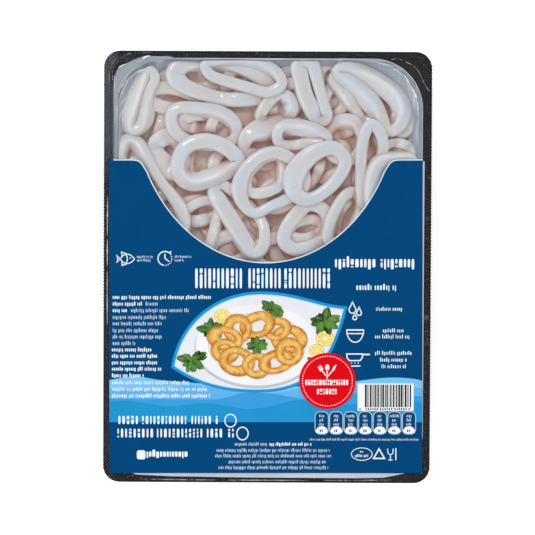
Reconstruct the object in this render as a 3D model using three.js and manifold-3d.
// A sealed retail tray of raw squid rings: a black plastic tray, a clear inner tub, the heap of rings,
// the clear lidding film on the tray's flange, and the blue printed label on the film.
// Millimetres, +Z up. The origin is the middle of the tray's base, and +Y points to the window end.
import * as THREE from "three";
import { mergeVertices } from "three/addons/utils/BufferGeometryUtils.js";
import Module from "manifold-3d";

const wasm = await Module();
wasm.setup();

// ---- driving dimensions ----
const PACK = { width: 144, length: 190, cornerRadius: 7 };
const FLANGE = { side: 3.6, end: 2.8, top: 29.3, thickness: 0.8, lipDrop: 1.6, lipWidth: 0.9 };
const BEAD = { height: 0.4, width: 0.7, crown: 0.35, outset: 0.35, cornerRadius: 12.5 };
const MOUTH_RADIUS = 20;
const WALL = { thickness: 0.8, draft: 8.5, baseRadius: 12 };
const BASE = { thickness: 0.9, edgeRadius: 2.6, insideRadius: 2 };
const TUB = { thickness: 0.5, rimWidth: 0.8, ledgeDrop: 1.7, ledgeSide: 2.3, ledgeEnd: 1 };
const TUB_BASE = { edgeRadius: 1.7, insideRadius: 1.4 };
const EDGE_ROUND = 0.3;
const FIT_GAP = 0.3;
const FILM = { thickness: 0.2, edgeInset: 0.8 };
const LABEL = { left: -69.6, right: 68.3, bottom: -90.7, top: 47.5, thickness: 0.2 };
const WINDOW = { centreX: -0.7, halfWidth: 58.7, depth: 73.6, lowest: 2.3 };
const SHOULDER = { drop: 5.2, reach: 8.6, bend: 3.1 };
const HEAP = { coreInWindow: 14.5, coreUnderLabel: 22, bump: 1.6, top: 28.6, skirt: 5 };
const HEAP_STEP = { windowMargin: 7, halfSlope: 3 };
const SQUID = { bandWidth: 9, rounding: 0.28 };

// ---- facets ----
const CORNER_STEPS = 7;
const RING_STEPS = 18;
const WINDOW_STEPS = 28;
const SHOULDER_STEPS = 5;
const BASE_STEPS = 3;
const CORE_COLUMNS = 13;
const CORE_ROWS = 18;
const SLIVER = 0.03;

const COLOURS = {
  tray: 0x1c1b1d,
  tub: 0x9aa0a8,
  squid: 0xdcd6d0,
  film: 0xe6ebf0,
  label: 0x00487c,
};

const radians = THREE.MathUtils.degToRad;

function material(colour, roughness, opacity = 1) {
  return new THREE.MeshStandardMaterial({
    color: colour,
    roughness,
    metalness: 0,
    opacity,
    transparent: opacity < 1,
  });
}

// ---- closed meshes ----

// The points of a rounded rectangle at one height, anticlockwise from above.
function roundedLoop(width, length, radius, z) {
  const points = [];
  for (let corner = 0; corner < 4; corner++) {
    const signX = corner === 0 || corner === 3 ? 1 : -1;
    const signY = corner < 2 ? 1 : -1;
    for (let step = 0; step <= CORNER_STEPS; step++) {
      const angle = (Math.PI / 2) * (corner + step / CORNER_STEPS);
      points.push(
        new THREE.Vector3(
          signX * (width / 2 - radius) + radius * Math.cos(angle),
          signY * (length / 2 - radius) + radius * Math.sin(angle),
          z,
        ),
      );
    }
  }
  return points;
}

// A skin through loops of equal length. Its two ends are closed by fans, or joined to each other.
function loft(loops, joined = false) {
  const count = loops[0].length;
  const corners = loops.flat().flatMap((p) => [p.x, p.y, p.z]);
  const faces = [];
  const quadRows = joined ? loops.length : loops.length - 1;
  for (let row = 0; row < quadRows; row++) {
    const next = (row + 1) % loops.length;
    for (let i = 0; i < count; i++) {
      const j = (i + 1) % count;
      const [a, b, c, d] = [row * count + i, row * count + j, next * count + j, next * count + i];
      faces.push(a, b, c, a, c, d);
    }
  }
  if (!joined) {
    const last = (loops.length - 1) * count;
    for (let i = 1; i < count - 1; i++) {
      faces.push(0, i + 1, i);
      faces.push(last, last + i, last + i + 1);
    }
  }
  const geometry = new THREE.BufferGeometry();
  geometry.setAttribute("position", new THREE.Float32BufferAttribute(corners, 3));
  geometry.setIndex(faces);
  return geometry;
}

function solidFrom(geometry) {
  const bare = new THREE.BufferGeometry();
  bare.setAttribute("position", geometry.getAttribute("position"));
  bare.setIndex(geometry.getIndex());
  const merged = mergeVertices(bare, 1e-4);
  return new wasm.Manifold(
    new wasm.Mesh({
      numProp: 3,
      vertProperties: new Float32Array(merged.attributes.position.array),
      triVerts: new Uint32Array(merged.index.array),
    }),
  );
}

function geometryFrom(solid) {
  const mesh = solid.getMesh();
  const geometry = new THREE.BufferGeometry();
  geometry.setAttribute("position", new THREE.Float32BufferAttribute(mesh.vertProperties, 3));
  geometry.setIndex(new THREE.Uint32BufferAttribute(mesh.triVerts, 1));
  geometry.computeVertexNormals();
  return geometry;
}

// ---- tray and tub ----

const mouth = {
  width: PACK.width - 2 * FLANGE.side,
  length: PACK.length - 2 * FLANGE.end,
};

// A loop set in from the tray's mouth by the same distance all round.
function insetLoop(inset, z, radius = MOUTH_RADIUS - inset) {
  return roundedLoop(mouth.width - 2 * inset, mouth.length - 2 * inset, radius, z);
}

// How far a wall has come in from the mouth when it has dropped this far.
const draftInset = (drop) => drop * Math.tan(radians(WALL.draft));

// The inside face of a shell wall, from under the ledge to the floor.
function wallLoops(outset, floorZ, topZ, edgeRadius) {
  const loops = [];
  const ledgeZ = FLANGE.top - TUB.ledgeDrop;
  const at = (z, extra = 0) => {
    const inset = draftInset(ledgeZ - z) - outset + extra;
    const lowShare = (ledgeZ - z) / ledgeZ;
    const radius = THREE.MathUtils.lerp(MOUTH_RADIUS - TUB.ledgeSide, WALL.baseRadius, lowShare);
    return roundedLoop(
      mouth.width - 2 * (TUB.ledgeSide + inset),
      mouth.length - 2 * (TUB.ledgeEnd + inset),
      radius + outset - extra,
      z,
    );
  };
  loops.push(at(topZ));
  loops.push(at(floorZ + edgeRadius));
  for (let step = 1; step <= BASE_STEPS; step++) {
    const angle = (Math.PI / 2) * (step / BASE_STEPS);
    const drop = edgeRadius * Math.sin(angle);
    loops.push(at(floorZ + edgeRadius - drop, edgeRadius * (1 - Math.cos(angle))));
  }
  return loops;
}

function trayGeometry() {
  const { top, thickness, lipDrop, lipWidth } = FLANGE;
  const innerWall = TUB.thickness + FIT_GAP;
  const outerWall = innerWall + WALL.thickness;
  const under = top - thickness;
  const ledgeTop = under - TUB.ledgeDrop;
  const ledgeUnder = ledgeTop - WALL.thickness;
  const rim = (inset, z) =>
    roundedLoop(PACK.width - 2 * inset, PACK.length - 2 * inset, PACK.cornerRadius - inset, z);
  const bead = (outset, z) =>
    roundedLoop(mouth.width + 2 * outset, mouth.length + 2 * outset, BEAD.cornerRadius, z);
  const outside = wallLoops(outerWall, 0, ledgeUnder, BASE.edgeRadius).reverse();
  const inside = wallLoops(innerWall, BASE.thickness, ledgeTop, BASE.insideRadius);
  return loft([
    ...outside,
    insetLoop(-WALL.thickness, ledgeUnder),
    insetLoop(-WALL.thickness, under),
    rim(lipWidth, under),
    rim(lipWidth, under - lipDrop),
    rim(0, under - lipDrop),
    rim(0, top - EDGE_ROUND),
    rim(EDGE_ROUND, top),
    bead(BEAD.outset + BEAD.width, top),
    bead(BEAD.outset + (BEAD.width + BEAD.crown) / 2, top + BEAD.height),
    bead(BEAD.outset + (BEAD.width - BEAD.crown) / 2, top + BEAD.height),
    bead(BEAD.outset, top),
    insetLoop(0, top),
    insetLoop(0, ledgeTop),
    ...inside,
  ]);
}

function tubGeometry() {
  const { thickness, rimWidth, ledgeDrop } = TUB;
  const rimZ = FLANGE.top;
  const ledgeZ = rimZ - ledgeDrop;
  const floorZ = BASE.thickness + FIT_GAP;
  const ledgeLoop = (z) =>
    roundedLoop(
      mouth.width - 2 * TUB.ledgeSide,
      mouth.length - 2 * TUB.ledgeEnd,
      MOUTH_RADIUS - TUB.ledgeSide,
      z,
    );
  const outside = wallLoops(thickness, floorZ, ledgeZ - thickness, TUB_BASE.edgeRadius).reverse();
  const inside = wallLoops(0, floorZ + thickness, ledgeZ - EDGE_ROUND, TUB_BASE.insideRadius);
  return loft([
    ...outside,
    insetLoop(FIT_GAP, ledgeZ - thickness),
    insetLoop(FIT_GAP, rimZ),
    insetLoop(rimWidth, rimZ),
    insetLoop(rimWidth, ledgeZ),
    ledgeLoop(ledgeZ),
    ...inside,
  ]);
}

// ---- film and label ----

function filmGeometry() {
  const bottom = FLANGE.top + BEAD.height;
  const loopAt = (z) =>
    roundedLoop(
      PACK.width - 2 * FILM.edgeInset,
      PACK.length - 2 * FILM.edgeInset,
      PACK.cornerRadius - FILM.edgeInset,
      z,
    );
  return loft([loopAt(bottom), loopAt(bottom + FILM.thickness)]);
}

// Where the window's edge lies on the way from its left shoulder to its right, as x and y. It is the
// lower part of an ellipse.
function windowEdge() {
  const shoulderRise = LABEL.top - SHOULDER.drop - WINDOW.lowest;
  const startAngle = Math.acos(1 - shoulderRise / WINDOW.depth);
  const points = [];
  for (let step = 0; step <= WINDOW_STEPS; step++) {
    const angle = -startAngle + (2 * startAngle * step) / WINDOW_STEPS;
    points.push([
      WINDOW.centreX + WINDOW.halfWidth * Math.sin(angle),
      WINDOW.lowest + WINDOW.depth * (1 - Math.cos(angle)),
    ]);
  }
  return points;
}

function labelGeometry() {
  const edge = windowEdge();
  const [leftX, shoulderY] = edge[0];
  const rightX = edge[edge.length - 1][0];
  const outline = new THREE.Shape();
  outline.moveTo(LABEL.left, LABEL.bottom);
  outline.lineTo(LABEL.right, LABEL.bottom);
  outline.lineTo(LABEL.right, LABEL.top);
  outline.lineTo(rightX + SHOULDER.reach, LABEL.top);
  outline.quadraticCurveTo(rightX + SHOULDER.bend, LABEL.top, rightX, shoulderY);
  for (const [x, y] of edge.slice(1, -1).reverse()) outline.lineTo(x, y);
  outline.lineTo(leftX, shoulderY);
  outline.quadraticCurveTo(leftX - SHOULDER.bend, LABEL.top, leftX - SHOULDER.reach, LABEL.top);
  outline.lineTo(LABEL.left, LABEL.top);
  outline.closePath();
  const geometry = new THREE.ExtrudeGeometry(outline, {
    depth: LABEL.thickness,
    bevelEnabled: false,
    curveSegments: SHOULDER_STEPS,
  });
  geometry.translate(0, 0, FLANGE.top + BEAD.height + FILM.thickness);
  return geometry;
}

// ---- squid rings ----

// Each ring is a band cut across a squid's tube: where its middle is, how long and wide its loop is
// outside, the way its long side points, how it leans about that side, how much narrower its far end
// is, and the thickness of its wall. The first rings lie on top.
const RINGS = [
  { x: -26.5, y: 46.3, z: 24, length: 32.5, width: 26, heading: -5, lean: 9, taper: 0.22, wall: 7 },
  { x: 21.7, y: 41.3, z: 24, length: 34, width: 25, heading: 48, lean: 0, taper: 0.05, wall: 7 },
  { x: -5.5, y: 38, z: 22.4, length: 33, width: 21, heading: 62, lean: 24, taper: 0.1, wall: 6.2 },
  { x: -9.5, y: 83, z: 24, length: 41, width: 16.5, heading: -20, lean: 6, taper: 0.1, wall: 5.4 },
  { x: 18.6, y: 77.6, z: 23.8, length: 29, width: 16, heading: -68, lean: 6, taper: 0.15, wall: 7.2 },
  { x: 44.5, y: 76, z: 23.6, length: 43, width: 20.5, heading: -39, lean: -12, taper: 0.08, wall: 7.4 },
  { x: 45.6, y: 46, z: 23.8, length: 42, width: 15, heading: 92, lean: -10, taper: 0.12, wall: 5.8 },
  { x: -56.8, y: 73.5, z: 23.4, length: 30, width: 14.6, heading: 75, lean: 12, taper: 0, wall: 6.6 },
  { x: -15, y: 18.5, z: 23.6, length: 36, width: 13, heading: -57, lean: 26, taper: 0, wall: 5.6 },
  { x: 14.5, y: 57, z: 21, length: 28, width: 17, heading: -20, lean: 16, taper: 0.1, wall: 4.8 },
  { x: -29, y: 64, z: 19.5, length: 35, width: 19, heading: -12, lean: 12, taper: 0.1, wall: 5.6 },
  { x: -51, y: 36, z: 20.5, length: 50, width: 18, heading: 122, lean: -10, taper: 0, wall: 5 },
  { x: 15, y: 17.5, z: 20, length: 33, width: 21, heading: 42, lean: 8, taper: 0.1, wall: 6.4 },
  { x: 34, y: 21.5, z: 20, length: 28, width: 17, heading: 66, lean: -8, taper: 0, wall: 5.2 },
  { x: 56, y: 36, z: 19.4, length: 38, width: 24, heading: 64, lean: 28, taper: 0.1, wall: 6.2 },
  { x: -25, y: 81, z: 18.6, length: 45, width: 20, heading: -14, lean: -30, taper: 0.1, wall: 6.8 },
  { x: 0, y: 58, z: 16.6, length: 31, width: 19, heading: 12, lean: 6, taper: 0.1, wall: 7 },
  { x: 33, y: 56, z: 17, length: 24, width: 18.5, heading: 100, lean: 0, taper: 0, wall: 5 },
  { x: 33, y: 76.5, z: 16, length: 33, width: 15, heading: -47, lean: -8, taper: 0, wall: 6.4 },
  { x: -44.5, y: 49, z: 16.4, length: 23, width: 17.5, heading: 70, lean: 0, taper: 0, wall: 7 },
  { x: -6, y: 16.5, z: 17, length: 16, width: 14, heading: 60, lean: 0, taper: 0, wall: 5 },
  { x: -29.5, y: 16, z: 16, length: 24, width: 19, heading: 80, lean: 6, taper: 0, wall: 5 },
  { x: 2.5, y: 70, z: 17.4, length: 18, width: 14, heading: 60, lean: 14, taper: 0, wall: 5.2 },
  { x: 59, y: 49, z: 13.6, length: 22, width: 15, heading: 10, lean: 0, taper: 0, wall: 4.8 },
];

// The cross-section of a band from inside to outside: how far in through the wall, and the height over
// the band's middle. The first and last points are dropped into the core, so no hollow is left below.
function bandSection(ring) {
  const crown = SQUID.bandWidth / 2;
  const edge = SQUID.rounding * ring.wall;
  return [
    [ring.wall, crown - edge],
    [ring.wall, crown - edge],
    [ring.wall - edge, crown],
    [edge, crown],
    [0, crown - edge],
    [0, crown - edge],
  ];
}

function ringGeometry(ring) {
  const section = bandSection(ring);
  const loops = [];
  for (let step = 0; step < RING_STEPS; step++) {
    const angle = (2 * Math.PI * step) / RING_STEPS;
    const narrowing = 1 - ring.taper * Math.cos(angle);
    loops.push(
      section.map(([inward, up]) => {
        const along = (ring.length / 2 - inward) * Math.cos(angle);
        const across = (ring.width / 2 - inward) * Math.sin(angle) * narrowing;
        return new THREE.Vector3(along, across, up);
      }),
    );
  }
  const geometry = loft(loops, true);
  geometry.rotateX(radians(ring.lean));
  geometry.rotateZ(radians(ring.heading));
  geometry.translate(ring.x, ring.y, ring.z);
  const place = geometry.getAttribute("position");
  for (let i = 0; i < place.count; i += section.length) {
    place.setZ(i, HEAP.skirt);
    place.setZ(i + section.length - 1, HEAP.skirt);
  }
  return geometry;
}

// ---- heap ----

// How far a point lies inside the window's edge, along the pack.
function intoWindow(x, y) {
  const share = Math.min(1, Math.abs(x) / (WINDOW.halfWidth + HEAP_STEP.windowMargin));
  return y - WINDOW.lowest - WINDOW.depth * (1 - Math.sqrt(1 - share ** 2));
}

// The height of the packed rings under those on top: lower in the window, and gently uneven.
function coreHeight(x, y) {
  const share = THREE.MathUtils.smoothstep(intoWindow(x, y), -HEAP_STEP.halfSlope, HEAP_STEP.halfSlope);
  const level = THREE.MathUtils.lerp(HEAP.coreUnderLabel, HEAP.coreInWindow, share);
  const broad = Math.sin(x / 5.1 + 0.4) * Math.cos(y / 6.3);
  const fine = Math.sin((x + y) / 3.7) / 2;
  return level + HEAP.bump * (broad + fine);
}

// A block with an uneven top, wider than the tub, to be cut to the tub's inside.
function coreGeometry() {
  const block = new THREE.BoxGeometry(PACK.width, PACK.length, 1, CORE_COLUMNS, CORE_ROWS, 1);
  const place = block.getAttribute("position");
  for (let i = 0; i < place.count; i++) {
    const isTop = place.getZ(i) > 0;
    place.setZ(i, isTop ? coreHeight(place.getX(i), place.getY(i)) : 0);
  }
  return block;
}

// The space inside the tub that the heap may fill, clear of the tub's wall, ledge and floor.
function tubInside() {
  const floorZ = BASE.thickness + FIT_GAP + TUB.thickness + FIT_GAP;
  const ledgeZ = FLANGE.top - TUB.ledgeDrop;
  const wall = wallLoops(-FIT_GAP, floorZ, ledgeZ - EDGE_ROUND, TUB_BASE.insideRadius).reverse();
  return loft([
    ...wall,
    roundedLoop(
      mouth.width - 2 * (TUB.ledgeSide + FIT_GAP),
      mouth.length - 2 * (TUB.ledgeEnd + FIT_GAP),
      MOUTH_RADIUS - TUB.ledgeSide - FIT_GAP,
      HEAP.top,
    ),
  ]);
}

// The largest body of a solid, which leaves out slivers that the tub's wall cuts loose.
function largestShell(solid) {
  return solid.decompose().reduce((most, shell) => (shell.volume() > most.volume() ? shell : most));
}

function heapGeometry() {
  let heap = solidFrom(coreGeometry());
  for (const ring of RINGS) heap = heap.add(solidFrom(ringGeometry(ring)));
  const cut = heap.intersect(solidFrom(tubInside()));
  return geometryFrom(largestShell(cut.simplify(SLIVER)));
}

// ---- the pack ----

const pack = new THREE.Group();

function addPiece(name, geometry, finish) {
  const piece = new THREE.Mesh(geometry, finish);
  piece.name = name;
  pack.add(piece);
}

addPiece("tray", trayGeometry(), material(COLOURS.tray, 0.45));
addPiece("inner_tub", tubGeometry(), material(COLOURS.tub, 0.2, 0.7));
addPiece("squid_rings", heapGeometry(), material(COLOURS.squid, 0.35));
addPiece("lid_film", filmGeometry(), material(COLOURS.film, 0.08, 0.2));
addPiece("label", labelGeometry(), material(COLOURS.label, 0.35));

export default pack;
